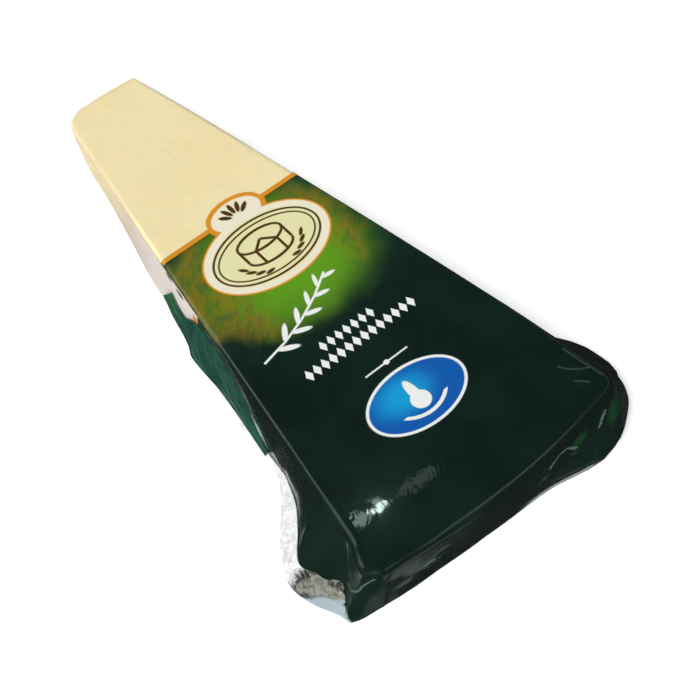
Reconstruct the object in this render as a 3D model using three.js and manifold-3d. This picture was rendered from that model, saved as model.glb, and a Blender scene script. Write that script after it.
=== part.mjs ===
// Wedge of hard cheese, vacuum packed lying flat in a film whose rind half is printed.
// Millimetres, +Z up. The rind end faces -Y and the narrow tip faces +Y.
import * as THREE from 'three';
import { mergeVertices } from 'three/addons/utils/BufferGeometryUtils.js';
import Module from 'manifold-3d';

const wasm = await Module();
wasm.setup();

// The pack seen from above
const packHeight = 24;
const rindY = -1.5;
const tipY = 182;
const rindLeftX = -45.5;
const rindRightX = 48;
const tipLeftX = -13.4;
const tipRightX = 14.6;
const rindBulge = 5;
const rightSideBulge = 1.1;
const tipBulge = 0.8;

// Rounding of its four upright corners and of its top and bottom edges
const rindLeftRadius = 3.5;
const rindRightRadius = 5;
const tipRightRadius = 2.4;
const tipLeftRadius = 10;
const topEdgeRadius = 1.2;
const bottomEdgeRadius = 1.2;

// Film, and the slit that parts neighbouring pieces
const filmThickness = 0.6;
const slit = 0.3;

// The underside tucks in towards the tip
const tuckStartY = 118;
const tuckNarrowing = 0.2;
const tuckLength = 3.4;
const tuckCurve = 1.4;

// Film drawn out into an ear at each rind corner, as [distance up the side, reach at the base].
// Negative distances lie along the rind face.
const leftEar = [[-4, 0], [-0.6, 1.8], [1.6, 6.2], [4, 7], [10, 7.5], [16, 11], [21, 12.5],
  [30, 7], [38, 2.5], [47, 0]];
const rightEar = [[-52, 0], [-30, 1.8], [-12, 6.4], [-3, 7.6], [3, 8.8], [9, 13.2], [15, 15],
  [22, 13], [32, 7.5], [44, 2], [54, 0]];
const leftEarRimHeight = 3;
const rightEarRimHeight = 7;
const earCurve = 1.6;
const earUndercut = 0.1;

// Where the print ends: straight across the top, round the emblem, and further back on the left side
const printEndY = 117;
const sidePrintEndY = 95;
const sidePrintDepth = 1.6;
const emblemX = 3.3;
const emblemHalfWidth = 10;
const emblemRise = 5.6;

// Lap of printed film on the left side, as [distance up the side, value]
const flapTopHeight = [[55, 9], [60, 11], [68, 16.5], [75, 18.6], [82, 19.2], [90, 17.5],
  [98, 14.5], [114, 13.5]];
const flapEdgeHeight = [[55, 7.5], [61, 5], [70, 3.8], [95, 3.8], [105, 5.5], [114, 11]];
const flapEdgeReach = [[55, 0.8], [60, 2.2], [66, 3], [76, 3.8], [86, 4], [97, 3.6],
  [106, 2.2], [114, 0.8]];

// Clear seam strip along the left side and round the left ear
const stripTopHeight = [[1, 8], [4, 9], [15, 9], [24, 5.5], [40, 6], [50, 5.5], [59, 3],
  [66, 2.6], [106, 2.4]];
const stripEdgeHeight = [[1, 0.5], [106, 0.5]];
const stripEdgeReach = [[1, 6.4], [4, 9.6], [9, 12.8], [16, 15.2], [22, 15.2], [30, 12.2], [36, 8.2],
  [44, 4], [56, 2], [66, 2], [86, 3], [99, 2.3], [106, 1]];
const ribbonThickness = 0.8;
const ribbonStep = 2.5;
const ribbonBite = 0.5;

// How finely the curved faces are divided
const rindSteps = 18;
const sideSteps = 24;
const tipSteps = 6;
const cornerSteps = 6;
const wallLevels = 6;
const edgeLevels = 2;
const emblemSteps = 12;

// Smooth curve through a list of [place, value], held level beyond its ends
function along(stations, place) {
  const last = stations.length - 1;
  if (place <= stations[0][0]) return stations[0][1];
  if (place >= stations[last][0]) return stations[last][1];
  const i = stations.findIndex(([at]) => at > place) - 1;
  const slope = (k) => {
    const [before, after] = [stations[Math.max(k - 1, 0)], stations[Math.min(k + 1, last)]];
    return (after[1] - before[1]) / (after[0] - before[0]);
  };
  const width = stations[i + 1][0] - stations[i][0];
  const t = (place - stations[i][0]) / width;
  const rise = 3 * t ** 2 - 2 * t ** 3;
  const startPull = (t ** 3 - 2 * t ** 2 + t) * width * slope(i);
  const endPull = (t ** 3 - t ** 2) * width * slope(i + 1);
  return THREE.MathUtils.lerp(stations[i][1], stations[i + 1][1], rise) + startPull + endPull;
}

// A side of the plan from one corner to the next, bowed outwards by its bulge
function bowedSide(from, to, bulge, steps, crowding) {
  const run = to.clone().sub(from);
  const outward = new THREE.Vector2(run.y, -run.x).normalize();
  return Array.from({ length: steps + 1 }, (unused, i) => {
    const t = crowding(i / steps);
    return from.clone().addScaledVector(run, t).addScaledVector(outward, 4 * bulge * t * (1 - t));
  });
}

// The arc that rounds the corner between two sides, and how far it reaches along them
function roundCorner(before, after, radius) {
  const corner = after[0];
  const arriving = corner.clone().sub(before.at(-2)).normalize();
  const leaving = after[1].clone().sub(corner).normalize();
  const turn = Math.acos(arriving.dot(leaving));
  const reach = radius * Math.tan(turn / 2);
  const inward = new THREE.Vector2(-arriving.y, arriving.x);
  const centre = corner.clone().addScaledVector(arriving, -reach).addScaledVector(inward, radius);
  const startAngle = Math.atan2(-inward.y, -inward.x);
  const arc = Array.from({ length: cornerSteps + 1 }, (unused, i) => {
    const angle = startAngle + (turn * i) / cornerSteps;
    return new THREE.Vector2(Math.cos(angle), Math.sin(angle)).multiplyScalar(radius).add(centre);
  });
  return { corner, reach, arc };
}

// The plan's points, anticlockwise from the left rind corner
function planPoints() {
  const corners = [[rindLeftX, rindY], [rindRightX, rindY], [tipRightX, tipY], [tipLeftX, tipY]]
    .map(([x, y]) => new THREE.Vector2(x, y));
  const radii = [rindLeftRadius, rindRightRadius, tipRightRadius, tipLeftRadius];
  const bulges = [rindBulge, rightSideBulge, tipBulge, 0];
  const steps = [rindSteps, sideSteps, tipSteps, sideSteps];
  const crowdings = [(t) => t, (t) => t ** 1.4, (t) => t, (t) => 1 - (1 - t) ** 1.4];
  const sides = corners.map((corner, i) => (
    bowedSide(corner, corners[(i + 1) % 4], bulges[i], steps[i], crowdings[i])));
  const rounds = sides.map((side, i) => roundCorner(sides[(i + 3) % 4], side, radii[i]));
  const clearOf = (round) => (point) => point.distanceTo(round.corner) > 1.1 * round.reach;
  return sides.flatMap((side, i) => [
    ...rounds[i].arc,
    ...side.filter(clearOf(rounds[i])).filter(clearOf(rounds[(i + 1) % 4])),
  ]);
}

// The plan with its outward normals and each point's distance up both sides from the rind corners
function makeOutline() {
  const points = planPoints();
  const count = points.length;
  let travelled = 0;
  const samples = points.map((point, i) => {
    const before = points[(i + count - 1) % count];
    const after = points[(i + 1) % count];
    if (i > 0) travelled += point.distanceTo(before);
    const normal = new THREE.Vector2(after.y - before.y, before.x - after.x).normalize();
    return { point, normal, travelled };
  });
  const perimeter = travelled + points[count - 1].distanceTo(points[0]);
  const leftStart = samples[cornerSteps / 2].travelled;
  const rightStart = samples.find(({ point }) => point.x > rindRightX - rindRightRadius / 2).travelled;
  return samples.map((sample) => {
    const fromLeft = sample.travelled - leftStart;
    const leftDistance = fromLeft < perimeter / 2 ? -fromLeft : perimeter - fromLeft;
    return { ...sample, leftDistance, rightDistance: sample.travelled - rightStart };
  });
}

const outline = makeOutline();

// The film's outward reach in its two ears
function earReach({ leftDistance, rightDistance }, z) {
  const spread = (rimHeight) => {
    if (z < rimHeight) return 1 - earUndercut * (1 - z / rimHeight) ** 2;
    return ((packHeight - z) / (packHeight - rimHeight)) ** earCurve;
  };
  return along(leftEar, leftDistance) * spread(leftEarRimHeight)
    + along(rightEar, rightDistance) * spread(rightEarRimHeight);
}

// A point of the plan moved outwards, then tucked in under the tip
function placePoint({ point, normal }, reach, z) {
  const moved = point.clone().addScaledVector(normal, reach);
  const tuck = THREE.MathUtils.smoothstep(moved.y, tuckStartY, tipY) * (1 - z / packHeight) ** tuckCurve;
  return new THREE.Vector3(moved.x * (1 - tuckNarrowing * tuck), moved.y - tuckLength * tuck, z);
}

// Heights from the top down, each with the inset that rounds the top and bottom edges
function bodyLevels(top, bottom) {
  const quarter = Array.from({ length: edgeLevels + 1 }, (unused, i) => (Math.PI / 2) * (i / edgeLevels));
  const upper = quarter.map((angle) => ({
    z: top - topEdgeRadius * (1 - Math.cos(angle)),
    inset: topEdgeRadius * (1 - Math.sin(angle)),
  }));
  const lower = quarter.toReversed().map((angle) => ({
    z: bottom + bottomEdgeRadius * (1 - Math.cos(angle)),
    inset: bottomEdgeRadius * (1 - Math.sin(angle)),
  }));
  const wall = Array.from({ length: wallLevels - 1 }, (unused, i) => ({
    z: THREE.MathUtils.lerp(top - topEdgeRadius, bottom + bottomEdgeRadius, (i + 1) / wallLevels),
    inset: 0,
  }));
  return [...upper, ...wall, ...lower];
}

// A closed solid from an indexed geometry
function solidOf(geometry) {
  const vertProperties = new Float32Array(geometry.getAttribute('position').array);
  const triVerts = new Uint32Array(geometry.getIndex().array);
  return new wasm.Manifold(new wasm.Mesh({ numProp: 3, vertProperties, triVerts }));
}

// Triangles over a ring, with their corners in the ring's own order
function capTriangles(ring) {
  if (ring.length === 4) return [[0, 1, 2], [0, 2, 3]];
  const flat = ring.map(({ x, y }) => new THREE.Vector2(x, y));
  return THREE.ShapeUtils.triangulateShape(flat, []).map((face) => face.sort((a, b) => a - b));
}

// The signed volume, which is negative where the faces point inwards
function signedVolume(points, triangles) {
  const volumes = triangles.map(([a, b, c]) => points[a].dot(points[b].clone().cross(points[c])) / 6);
  return volumes.reduce((sum, volume) => sum + volume, 0);
}

// A closed solid through a row of rings that have the same number of points
function loft(rings) {
  const size = rings[0].length;
  const lastStart = (rings.length - 1) * size;
  const points = rings.flat();
  const triangles = [];
  for (let start = 0; start < lastStart; start += size) {
    for (let i = 0; i < size; i += 1) {
      const [here, next] = [start + i, start + ((i + 1) % size)];
      triangles.push([here, next, here + size], [next, next + size, here + size]);
    }
  }
  capTriangles(rings[0]).forEach(([a, b, c]) => triangles.push([a, c, b]));
  capTriangles(rings.at(-1)).forEach((face) => triangles.push(face.map((i) => i + lastStart)));
  if (signedVolume(points, triangles) < 0) triangles.forEach((face) => face.reverse());
  const geometry = new THREE.BufferGeometry().setFromPoints(points);
  geometry.setIndex(triangles.flat());
  return solidOf(geometry);
}

// The wedge without ears, inset all round
function plainWedge(inset) {
  const levels = bodyLevels(packHeight - inset, inset);
  return loft(levels.map((level) => (
    outline.map((sample) => placePoint(sample, -inset - level.inset, level.z)))));
}

// The outside of the film with its ears, grown outwards by a margin
function filmEnvelope(margin) {
  const levels = bodyLevels(packHeight, 0);
  return loft(levels.map((level) => outline.map((sample) => (
    placePoint(sample, earReach(sample, level.z) + margin - level.inset, level.z)))));
}

// Upright block over the printed half of the plan, grown towards the tip by a margin
function printedRegion(margin) {
  const beyond = tipY + 20;
  const leftX = (y) => THREE.MathUtils.mapLinear(y, rindY, tipY, rindLeftX, tipLeftX);
  const depth = sidePrintDepth - margin;
  const shape = new THREE.Shape();
  shape.moveTo(-beyond, -beyond);
  shape.lineTo(beyond, -beyond);
  shape.lineTo(beyond, printEndY + margin);
  shape.lineTo(emblemX + emblemHalfWidth + margin, printEndY + margin);
  shape.absellipse(emblemX, printEndY + margin, emblemHalfWidth + margin, emblemRise, 0, Math.PI, false);
  shape.lineTo(leftX(printEndY) + depth, printEndY + margin);
  shape.lineTo(leftX(sidePrintEndY) + depth, sidePrintEndY + margin);
  shape.lineTo(-beyond, sidePrintEndY + margin);
  shape.closePath();
  const extrusion = { depth: 2 * packHeight, bevelEnabled: false, curveSegments: emblemSteps };
  const geometry = new THREE.ExtrudeGeometry(shape, extrusion);
  geometry.translate(0, 0, -packHeight / 2);
  geometry.deleteAttribute('normal');
  geometry.deleteAttribute('uv');
  return solidOf(mergeVertices(geometry));
}

// The outline at a distance up the left side from the rind corner
function leftSideAt(distance) {
  const byDistance = outline.toSorted((a, b) => a.leftDistance - b.leftDistance);
  const next = byDistance.findIndex((sample) => sample.leftDistance > distance);
  const [before, after] = [byDistance[next - 1], byDistance[next]];
  const t = THREE.MathUtils.mapLinear(distance, before.leftDistance, after.leftDistance, 0, 1);
  return {
    point: before.point.clone().lerp(after.point, t),
    normal: before.normal.clone().lerp(after.normal, t).normalize(),
    leftDistance: distance,
    rightDistance: before.rightDistance,
  };
}

// A ribbon of film that leans on the left side: its top edge on the wall, its other edge held out
function leaningRibbon(topHeight, edgeReach, edgeHeight) {
  const start = edgeReach[0][0];
  const end = edgeReach.at(-1)[0];
  const count = Math.round((end - start) / ribbonStep);
  const rings = Array.from({ length: count + 1 }, (unused, i) => {
    const distance = THREE.MathUtils.lerp(start, end, i / count);
    const side = leftSideAt(distance);
    const topZ = along(topHeight, distance);
    const top = new THREE.Vector2(earReach(side, topZ) - ribbonBite, topZ);
    const edge = new THREE.Vector2(along(edgeReach, distance), along(edgeHeight, distance));
    const lean = edge.clone().sub(top).normalize();
    const outward = new THREE.Vector2(-lean.y, lean.x).multiplyScalar(ribbonThickness);
    return [top, edge, edge.clone().add(outward), top.clone().add(outward)]
      .map((corner) => placePoint(side, corner.x, corner.y));
  });
  return loft(rings);
}

function meshOf(name, solid, look) {
  const { vertProperties, triVerts } = solid.getMesh();
  const geometry = new THREE.BufferGeometry();
  geometry.setAttribute('position', new THREE.BufferAttribute(vertProperties, 3));
  geometry.setIndex(new THREE.BufferAttribute(triVerts, 1));
  const mesh = new THREE.Mesh(geometry, new THREE.MeshStandardMaterial(look));
  mesh.name = name;
  return mesh;
}

const film = filmEnvelope(0).subtract(plainWedge(filmThickness));
const aroundFilm = filmEnvelope(slit);
const cheese = plainWedge(filmThickness + slit);
const printedFilm = film.intersect(printedRegion(0));
const clearFilm = film.subtract(printedRegion(slit));
const flap = leaningRibbon(flapTopHeight, flapEdgeReach, flapEdgeHeight).subtract(aroundFilm);
const strip = leaningRibbon(stripTopHeight, stripEdgeReach, stripEdgeHeight).subtract(aroundFilm);

const group = new THREE.Group();
group.add(
  meshOf('cheese_wedge', cheese, { color: 0xeddfb2, roughness: 0.45, metalness: 0 }),
  meshOf('film_printed', printedFilm, { color: 0x14261e, roughness: 0.2, metalness: 0 }),
  meshOf('film_clear_tip', clearFilm, { color: 0xf1ead2, roughness: 0.1, metalness: 0 }),
  meshOf('side_flap', flap, { color: 0x2b563f, roughness: 0.3, metalness: 0 }),
  meshOf('seam_strip', strip, { color: 0xd8dade, roughness: 0.25, metalness: 0 }),
);

// The origin is on the surface that the pack lies on, below the middle of its outer box
const outerBox = new THREE.Box3().setFromObject(group);
const middle = outerBox.getCenter(new THREE.Vector3());
group.position.set(-middle.x, -middle.y, -outerBox.min.z);

export default group;
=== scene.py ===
import math

import bpy
import numpy as np
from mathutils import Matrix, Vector, noise
from mathutils.kdtree import KDTree


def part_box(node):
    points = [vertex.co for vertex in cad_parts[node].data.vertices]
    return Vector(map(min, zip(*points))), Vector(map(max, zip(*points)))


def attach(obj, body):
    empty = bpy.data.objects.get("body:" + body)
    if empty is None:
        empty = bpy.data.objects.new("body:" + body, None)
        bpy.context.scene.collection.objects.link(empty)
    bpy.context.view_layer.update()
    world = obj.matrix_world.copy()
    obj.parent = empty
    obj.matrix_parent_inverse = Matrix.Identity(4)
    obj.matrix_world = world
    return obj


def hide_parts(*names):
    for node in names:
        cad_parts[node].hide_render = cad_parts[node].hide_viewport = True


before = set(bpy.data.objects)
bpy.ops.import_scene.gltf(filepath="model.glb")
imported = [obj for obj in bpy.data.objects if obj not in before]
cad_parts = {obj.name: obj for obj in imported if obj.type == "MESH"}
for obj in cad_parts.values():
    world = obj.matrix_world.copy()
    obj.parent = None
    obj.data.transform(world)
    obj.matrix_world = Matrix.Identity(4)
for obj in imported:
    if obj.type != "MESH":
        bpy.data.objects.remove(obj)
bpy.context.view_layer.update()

# Sizes in this file are in millimetres, in the pack's own plan: x across, y from the rind to the tip.
mm = 0.001

pack = {
    "height": 24.0,
    "corners": [(-45.5, -1.5), (48.0, -1.5), (14.6, 182.0), (-13.4, 182.0)],  # from the left rind corner
    "bulges": [5.0, 1.1, 0.8, 0.0],       # rind, right side, tip, left side
    "radii": [3.5, 5.0, 1.8, 10.0],
    # by distance round the plan
    "topRadius": [(0, 2.0), (18, 1.7), (27, 2.4), (60, 2.1), (86, 2.6), (96, 3.2), (110, 2.6),
                  (135, 1.3), (300, 1.2), (340, 1.0), (455, 1.3), (470, 2.0)],
    "bottomRadius": 1.2,
    "cheeseInset": 0.9,
    "crowding": (0.72, 0.55),             # how much the grid's columns and rows crowd to the edges
    "topOutlineDrop": 1.5,                # the top face takes its outline this far below the top
    "tuckStart": 118.0,                   # the underside draws in from here to the tip
    "tuckEnd": 182.0,
    "tuckNarrowing": 0.2,
    "tuckLength": 3.4,
    "tuckCurve": 1.4,
    # how far the ears reach, by distance from their rind corner
    "leftEar": [(-3.5, 0), (-1.2, 0.5), (0.2, 2.0), (0.9, 4.1), (1.3, 6.0), (1.7, 7.9), (2.4, 7.1),
                (4, 6.6), (7, 6.6), (10, 7.9), (16, 11), (21, 12.5), (30, 7), (38, 2.5), (47, 0)],
    "rightEar": [(-52, 0), (-30, 1.8), (-12, 6.7), (-5.6, 7.1), (-2.4, 6.7), (-0.9, 6.2), (0.7, 6.5),
                 (2.1, 7.5), (3.4, 8.5), (4.9, 9.9), (7.1, 11.4), (11.4, 12.5), (17, 12.6), (24.8, 10.9),
                 (32, 7.5), (44, 2), (54, 0)],
    "rightEarX": 45.5,
    # slack film at the top of the left corner
    "leftShoulder": [(-25, 0), (-15, 0.4), (-8, 0.5), (-3.5, 1.0), (-1, 1.4), (1, 2.4), (2.5, 2.9),
                     (4.6, 2.9), (7, 2.2), (11, 0.8), (19, 0.5), (27, 0.2), (45, 0)],
    "shoulderCurve": 1.5,
    "leftRim": 3.0,
    "rightRim": 7.0,
    "earCurve": 1.6,
    "earUndercut": 0.1,
}


def along(stations, places):
    # smooth curve through (place, value) pairs, level beyond its ends
    at, value = np.array(stations, float).T
    last = len(at) - 1
    before = np.maximum(np.arange(last + 1) - 1, 0)
    after = np.minimum(np.arange(last + 1) + 1, last)
    slope = (value[after] - value[before]) / (at[after] - at[before])
    place = np.clip(places, at[0], at[-1])
    i = np.clip(np.searchsorted(at, place, side="right") - 1, 0, last - 1)
    width = at[i + 1] - at[i]
    t = (place - at[i]) / width
    rise = 3 * t ** 2 - 2 * t ** 3
    startPull = (t ** 3 - 2 * t ** 2 + t) * width * slope[i]
    endPull = (t ** 3 - t ** 2) * width * slope[i + 1]
    return value[i] + (value[i + 1] - value[i]) * rise + startPull + endPull


def smoothStep(values, low, high):
    t = np.clip((values - low) / (high - low), 0, 1)
    return t * t * (3 - 2 * t)


# Outline of the pack

def bowedSide(start, end, bulge):
    t = np.linspace(0, 1, 401)[:, None]
    run = end - start
    outward = np.array([run[1], -run[0]]) / np.linalg.norm(run)
    return start + run * t + outward * 4 * bulge * t * (1 - t)


def cornerArc(before, after, radius):
    corner = after[0]
    arriving = (corner - before[-2]) / np.linalg.norm(corner - before[-2])
    leaving = (after[1] - corner) / np.linalg.norm(after[1] - corner)
    turn = math.acos(float(arriving @ leaving))
    reach = radius * math.tan(turn / 2)
    inward = np.array([-arriving[1], arriving[0]])
    centre = corner - arriving * reach + inward * radius
    angles = math.atan2(-inward[1], -inward[0]) + np.linspace(0, turn, 41)
    return centre + radius * np.stack([np.cos(angles), np.sin(angles)], axis=1), reach


def makeOutline():
    corners = np.array(pack["corners"])
    sides = [bowedSide(corners[k], corners[(k + 1) % 4], pack["bulges"][k]) for k in range(4)]
    rounds = [cornerArc(sides[k - 1], sides[k], pack["radii"][k]) for k in range(4)]
    loop, middles = [], []
    for k in range(4):
        arc, reach = rounds[k]
        nextReach = rounds[(k + 1) % 4][1]
        middles.append(sum(len(part) for part in loop) + len(arc) // 2)
        fromStart = np.linalg.norm(sides[k] - sides[k][0], axis=1)
        fromEnd = np.linalg.norm(sides[k] - sides[k][-1], axis=1)
        loop += [arc, sides[k][(fromStart > 1.02 * reach) & (fromEnd > 1.02 * nextReach)]]
    points = np.roll(np.concatenate(loop), -middles[0], axis=0)
    points = np.vstack([points, points[:1]])
    travelled = np.concatenate([[0], np.cumsum(np.linalg.norm(np.diff(points, axis=0), axis=1))])
    ahead = np.roll(points[:-1], -1, axis=0) - np.roll(points[:-1], 1, axis=0)
    normals = np.stack([ahead[:, 1], -ahead[:, 0]], axis=1) / np.linalg.norm(ahead, axis=1)[:, None]
    normals = np.vstack([normals, normals[:1]])
    stops = [travelled[middle - middles[0]] for middle in middles] + [travelled[-1]]
    return {"points": points, "normals": normals, "travelled": travelled, "stops": stops}


outline = makeOutline()
perimeter = outline["stops"][4]
rightStart = outline["travelled"][np.argmax(outline["points"][:, 0] > pack["rightEarX"])]
cheeseLow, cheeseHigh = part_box("cheese_wedge")
planOrigin = np.array([
    cheeseHigh.x / mm - (outline["points"][:, 0].max() - pack["cheeseInset"]),
    cheeseHigh.y / mm - (outline["points"][:, 1].max() - pack["cheeseInset"]),
    0,
])


def onOutline(travelled):
    # point and outward normal of the plan at a distance round it
    where = np.mod(travelled, perimeter)
    point = [np.interp(where, outline["travelled"], outline["points"][:, k]) for k in (0, 1)]
    normal = [np.interp(where, outline["travelled"], outline["normals"][:, k]) for k in (0, 1)]
    return np.stack(point, axis=-1), np.stack(normal, axis=-1)


def upTheLeft(travelled):
    # distance up the left side from the rind corner, negative along the rind
    where = np.mod(travelled, perimeter)
    return np.where(where > perimeter / 2, perimeter - where, -where)


def earReach(travelled, z):
    left = along(pack["leftEar"], upTheLeft(travelled))
    right = along(pack["rightEar"], np.mod(travelled, perimeter) - rightStart)

    def spread(rim):
        above = np.clip((pack["height"] - z) / (pack["height"] - rim), 0, 1) ** pack["earCurve"]
        below = 1 - pack["earUndercut"] * np.clip(1 - z / rim, 0, 1) ** 2
        return np.where(z < rim, below, above)

    shoulder = along(pack["leftShoulder"], upTheLeft(travelled))
    shoulder = shoulder * np.clip(z / pack["height"], 0, 1) ** pack["shoulderCurve"]
    return left * spread(pack["leftRim"]) + right * spread(pack["rightRim"]) + shoulder


def nearestOnOutline(points):
    # how far round the plan the nearest outline point lies, and how far off it is
    steps = np.linspace(0, perimeter, 6000)
    ring, _ = onOutline(steps)
    tree = KDTree(len(ring))
    for i, (x, y) in enumerate(ring):
        tree.insert((x, y, 0), i)
    tree.balance()
    found = [tree.find((point[0], point[1], 0)) for point in points]
    return steps[[index for place, index, far in found]], np.array([far for place, index, far in found])


def tucked(points):
    # the underside draws in and back below the tip
    x, y, z = points.T
    tuck = smoothStep(y, pack["tuckStart"], pack["tuckEnd"])
    tuck = tuck * np.clip(1 - z / pack["height"], 0, 1) ** pack["tuckCurve"]
    return np.stack([x * (1 - pack["tuckNarrowing"] * tuck), y - pack["tuckLength"] * tuck, z], axis=1)


# Small jobs in Blender

def deselectAll():
    if bpy.context.object and bpy.context.object.mode != "OBJECT":
        bpy.ops.object.mode_set(mode="OBJECT")
    bpy.ops.object.select_all(action="DESELECT")


def makeActive(obj):
    deselectAll()
    obj.select_set(True)
    bpy.context.view_layer.objects.active = obj


def turnFacesOut():
    # ends edit mode
    bpy.ops.mesh.select_all(action="SELECT")
    bpy.ops.mesh.normals_make_consistent(inside=False)
    bpy.ops.object.mode_set(mode="OBJECT")


def applyModifier(obj, kind, **settings):
    makeActive(obj)
    modifier = obj.modifiers.new(kind.title(), kind)
    for key, value in settings.items():
        setattr(modifier, key, value)
    bpy.ops.object.modifier_apply(modifier=modifier.name)


def readPoints(obj, what="co"):
    flat = np.empty(len(obj.data.vertices) * 3, np.float32)
    obj.data.vertices.foreach_get(what, flat)
    return flat.reshape(-1, 3).astype(float)


def writePoints(obj, points):
    obj.data.vertices.foreach_set("co", points.astype(np.float32).ravel())
    obj.data.update()


def toFrame(obj):
    # from millimetres in the plan to metres in the frame
    writePoints(obj, (readPoints(obj) + planOrigin) * mm)


def finishPiece(obj, nodes, material, angle=50):
    makeActive(obj)
    bpy.ops.object.shade_smooth_by_angle(angle=math.radians(angle))
    obj.data.materials.clear()
    obj.data.materials.append(material)
    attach(obj, "root")
    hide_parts(*nodes)


def noiseAt(points, scale, seed):
    # smooth noise from -1 to 1 at each point, scale is the size of one wave in millimetres
    scales = np.broadcast_to(np.array(scale, float), (3,))
    return np.array([noise.noise(Vector(p)) for p in points / scales + seed * 17.3])


def ridgesAt(points, scale, seed):
    # sharp creases between soft facets, from 0 to 1 on the crease
    return (1 - np.abs(noiseAt(points, scale, seed)) * 2.2).clip(0, 1) ** 3


def creaseAt(points, path, width, height):
    # a ridge, or a furrow if height is negative, along a path, fading out at both ends
    path = np.array(path, float)
    best = np.full(len(points), 1e9)
    share = np.zeros(len(points))
    lengths = np.linalg.norm(np.diff(path, axis=0), axis=1)
    starts = np.concatenate([[0], np.cumsum(lengths)])
    for i, length in enumerate(lengths):
        run = path[i + 1] - path[i]
        t = np.clip(((points - path[i]) @ run) / length ** 2, 0, 1)
        far = np.linalg.norm(points - (path[i] + t[:, None] * run), axis=1)
        nearer = far < best
        best[nearer] = far[nearer]
        share[nearer] = ((starts[i] + t * length) / starts[-1])[nearer]
    ends = np.clip(np.minimum(share, 1 - share) * 5, 0, 1)
    return height * np.exp(-(best / width) ** 2) * (0.25 + 0.75 * ends)


# The wrapped body: a grid drawn down level by level into a closed box, then laid on the pack's form

def spaced(t, crowding):
    # steps crowd towards both ends
    return t - crowding * np.sin(2 * math.pi * t) / (2 * math.pi)


def closedGrid(name, columns, rows, levels):
    deselectAll()
    bpy.ops.mesh.primitive_grid_add(x_subdivisions=columns, y_subdivisions=rows, size=2)
    bpy.ops.object.mode_set(mode="EDIT")
    for level in range(levels):
        bpy.ops.mesh.extrude_region_move(TRANSFORM_OT_translate={"value": (0, 0, -1)})
    turnFacesOut()
    obj = bpy.context.object
    obj.name = obj.data.name = name
    return obj


def coons(u, v, edgePoint):
    # fills the plan between its four sides; edgePoint gives points at distances round it
    start, right, tipRight, tipLeft, end = outline["stops"]
    u, v = u[:, None], v[:, None]

    def at(low, high, t):
        return edgePoint((low + (high - low) * t)[:, 0])

    rind, tip = at(start, right, u), at(tipLeft, tipRight, u)
    leftSide, rightSide = at(end, tipLeft, v), at(right, tipRight, v)
    corner = [edgePoint(np.array([stop])) for stop in (start, right, tipRight, tipLeft)]
    blend = (1 - v) * rind + v * tip + (1 - u) * leftSide + u * rightSide
    twice = (1 - u) * (1 - v) * corner[0] + u * (1 - v) * corner[1]
    twice = twice + u * v * corner[2] + (1 - u) * v * corner[3]
    return blend - twice


def roundTheEdge(u, v):
    # distance round the plan of the grid's border points
    start, right, tipRight, tipLeft, end = outline["stops"]
    small = 1e-5
    travelled = np.where(v < small, start + (right - start) * u, tipLeft + (tipRight - tipLeft) * u)
    travelled = np.where(u > 1 - small, right + (tipRight - right) * v, travelled)
    travelled = np.where((u < small) & (v > small), end + (tipLeft - end) * v, travelled)
    return travelled


def wrappedBody(name, columns, rows, wallLevels, inset, withEars):
    bottomRadius = pack["bottomRadius"]
    top, bottom = pack["height"] - inset, inset
    wall = [(share, 0.0) for share in np.linspace(1, 0, wallLevels + 1)]
    foot = [(-math.cos(a), bottomRadius * (1 - math.sin(a))) for a in np.radians([60, 30, 0])]
    levels = np.array(wall + foot)
    obj = closedGrid(name, columns, rows, len(levels) - 1)
    raw = readPoints(obj)
    u = spaced((raw[:, 0] + 1) / 2, pack["crowding"][0])
    v = spaced((raw[:, 1] + 1) / 2, pack["crowding"][1])
    level = np.round(-raw[:, 2]).astype(int)
    share, shrink = levels[level].T
    travelled = roundTheEdge(u, v)
    radius = along(pack["topRadius"], travelled)
    wallHeight = top - radius - bottom - bottomRadius
    z = bottom + bottomRadius + share * np.where(share < 0, bottomRadius, wallHeight)

    def edgePoint(z, shrink):
        def place(distance):
            point, normal = onOutline(distance)
            reach = earReach(distance, np.full(len(distance), z)) if withEars else 0 * distance
            return point + normal * (reach - shrink - inset)[:, None]
        return place

    point, normal = onOutline(travelled)
    reach = earReach(travelled, z) if withEars else 0 * z
    placed = np.column_stack([point + normal * (reach - shrink - inset)[:, None], z])
    isTop, isBottom = level == 0, level == len(levels) - 1
    topEdge = edgePoint(top - pack["topOutlineDrop"], 0)
    placed[isTop, :2] = coons(u[isTop], v[isTop], topEdge)
    placed[isBottom, :2] = coons(u[isBottom], v[isBottom], edgePoint(bottom, bottomRadius))
    nearest, fromEdge = nearestOnOutline(coons(u[isTop], v[isTop], lambda distance: onOutline(distance)[0]))
    radius = along(pack["topRadius"], nearest)
    drop = radius - np.clip(fromEdge, 0, radius)
    placed[isTop, 2] = top - radius + np.sqrt(radius ** 2 - drop ** 2)
    writePoints(obj, tucked(placed))
    return obj, {"travelled": travelled, "isTop": isTop, "isBottom": isBottom}


# Materials

def newMaterial(name):
    material = bpy.data.materials.new(name)
    material.use_nodes = True
    return material


def srgb(red, green, blue):
    # colour as seen, 0 to 255, to the linear colour that Blender wants
    return tuple((c / 12.92 if c <= 0.04045 else ((c + 0.055) / 1.055) ** 2.4)
                 for c in (red / 255, green / 255, blue / 255)) + (1.0,)


def inkFrom(colours):
    return {name: srgb(*value) for name, value in colours.items()}


def isSocket(value):
    return isinstance(value, bpy.types.NodeSocket)


def setInputs(node, inputs):
    for key, value in inputs.items():
        if isSocket(value):
            node.id_data.links.new(value, node.inputs[key])
        else:
            node.inputs[key].default_value = value


def finishMaterial(material, inputs):
    setInputs(material.node_tree.nodes["Principled BSDF"], inputs)
    return material


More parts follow.
